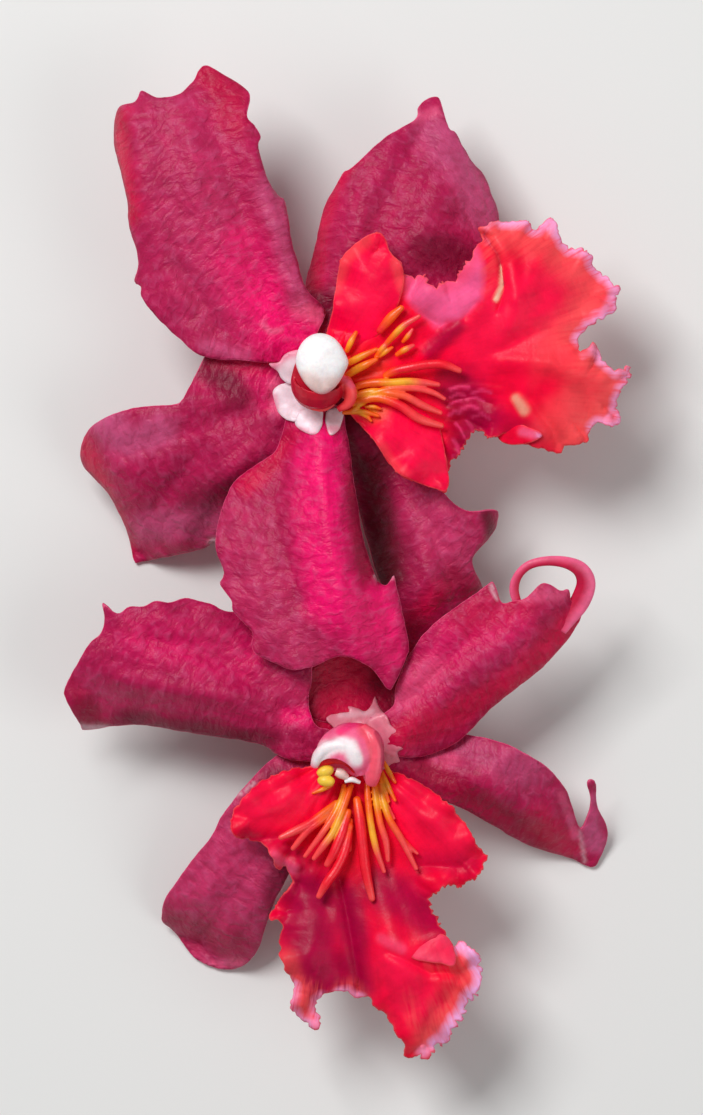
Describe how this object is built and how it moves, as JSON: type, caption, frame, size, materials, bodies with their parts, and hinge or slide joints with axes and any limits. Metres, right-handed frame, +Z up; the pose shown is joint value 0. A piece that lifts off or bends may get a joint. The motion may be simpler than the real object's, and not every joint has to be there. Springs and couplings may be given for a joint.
{
  "type": "cambria orchid",
  "caption": "Cut spray of dark rose cambria orchid with two open blooms, scarlet ruffled lips and orange crests, lying on its back.",
  "frame": {"origin": "middle of the footprint on the surface that the spray lies on", "axes": "+X right across the blooms, +Y up the spray from the cut end, +Z up, the way the blooms face"},
  "size_m": [0.0713, 0.1247, 0.0259],
  "materials": {
    "tepals": "soft petal tissue, dusky rose with crimson edges, finely puckered",
    "lips": "soft petal tissue, glowing scarlet red with pale ruffled margins",
    "callus": "waxy orange fingers with salmon tips",
    "columns": "waxy pink and crimson flesh",
    "anther_cap": "smooth waxy white",
    "pollinia": "waxy yellow",
    "stems": "smooth green stalk flushed purple"
  },
  "bodies": {
    "root": {"upper_bract": "stems", "upper_bloom_ovary": "stems", "upper_bloom_column": "columns", "upper_bloom_callus": "callus", "upper_bloom_lip": "lips", "upper_bloom_petal_left": "tepals", "upper_bloom_dorsal_sepal": "tepals", "lower_bract": "stems", "lower_bloom_ovary": "stems", "lower_bloom_column": "columns", "lower_bloom_callus": "callus", "lower_bloom_lip": "lips", "lower_bloom_petal_left": "tepals", "lower_bloom_dorsal_sepal": "tepals", "rachis": "stems", "upper_bloom_petal_down": "tepals", "lower_bloom_petal_right": "tepals", "upper_bloom_lateral_sepal_top": "tepals", "upper_bloom_lateral_sepal_low": "tepals", "lower_bloom_lateral_sepal_left": "tepals", "lower_bloom_lateral_sepal_right": "tepals", "upper_bloom_anther_cap": "anther_cap", "lower_bloom_pollinia": "pollinia"}
  },
  "joints": []
}
